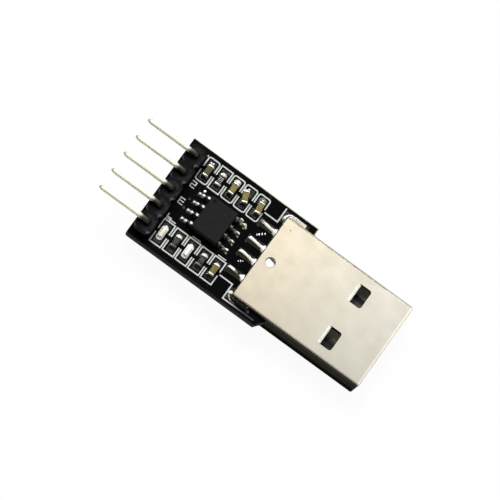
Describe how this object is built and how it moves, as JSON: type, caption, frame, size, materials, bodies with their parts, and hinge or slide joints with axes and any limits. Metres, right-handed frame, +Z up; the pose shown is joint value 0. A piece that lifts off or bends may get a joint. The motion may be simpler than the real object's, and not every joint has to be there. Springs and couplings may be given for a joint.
{
  "type": "usb to serial adapter module",
  "caption": "Small black circuit board with a sunk metal USB plug at one end, a bent pin header at the other and a bridge chip between them.",
  "frame": {"origin": "under the middle of the whole module, on the plane that the plug's underside rests on", "axes": "+X from the pin header towards the plug's mouth, +Y towards the first pin, +Z up, square to the board"},
  "size_m": [0.0392, 0.0146, 0.0066],
  "materials": {
    "solder_mask": "glossy black solder mask on glass-fibre board",
    "pad_metal": "tinned pads",
    "legend_ink": "printed ink",
    "header_plastic": "moulded satin black",
    "pin_metal": "pale plated, satin",
    "solder": "bright solder",
    "shell_metal": "satin plated sheet",
    "insulator_plastic": "moulded white",
    "contact_metal": "gold plated",
    "chip_plastic": "moulded matte",
    "lead_metal": "tinned",
    "capacitor_grey": "fired ceramic, satin",
    "capacitor_tan": "fired ceramic, satin",
    "cap_metal": "tinned",
    "resistor_ceramic": "white alumina",
    "resistor_coat": "glossy black coat",
    "lamp_base": "pale laminate",
    "lamp_lens": "milky moulded resin"
  },
  "bodies": {
    "root": {"circuit_board": "solder_mask", "board_pads": "pad_metal", "board_legend": "legend_ink", "header_strip": "header_plastic", "header_pin_1": "pin_metal", "header_pin_2": "pin_metal", "header_pin_3": "pin_metal", "header_pin_4": "pin_metal", "header_pin_5": "pin_metal", "header_solder": "solder", "plug_shell": "shell_metal", "plug_insulator": "insulator_plastic", "plug_contact_1": "contact_metal", "plug_contact_2": "contact_metal", "plug_contact_3": "contact_metal", "plug_contact_4": "contact_metal", "plug_contact_solder": "solder", "plug_tab_solder": "solder", "chip_body": "chip_plastic", "chip_lead_1": "lead_metal", "chip_lead_2": "lead_metal", "chip_lead_3": "lead_metal", "chip_lead_4": "lead_metal", "chip_lead_5": "lead_metal", "chip_lead_6": "lead_metal", "chip_lead_7": "lead_metal", "chip_lead_8": "lead_metal", "chip_solder": "solder", "capacitor_1_body": "capacitor_grey", "capacitor_2_body": "capacitor_tan", "capacitor_3_body": "capacitor_tan", "capacitor_4_body": "capacitor_tan", "capacitor_5_body": "capacitor_tan", "capacitor_1_caps": "cap_metal", "capacitor_2_caps": "cap_metal", "capacitor_3_caps": "cap_metal", "capacitor_4_caps": "cap_metal", "capacitor_5_caps": "cap_metal", "resistor_1_body": "resistor_ceramic", "resistor_2_body": "resistor_ceramic", "resistor_3_body": "resistor_ceramic", "resistor_1_coat": "resistor_coat", "resistor_2_coat": "resistor_coat", "resistor_3_coat": "resistor_coat", "resistor_1_caps": "cap_metal", "resistor_2_caps": "cap_metal", "resistor_3_caps": "cap_metal", "lamp_1_base": "lamp_base", "lamp_2_base": "lamp_base", "lamp_1_lens": "lamp_lens", "lamp_2_lens": "lamp_lens", "lamp_1_caps": "cap_metal", "lamp_2_caps": "cap_metal", "part_solder": "solder"}
  },
  "joints": []
}
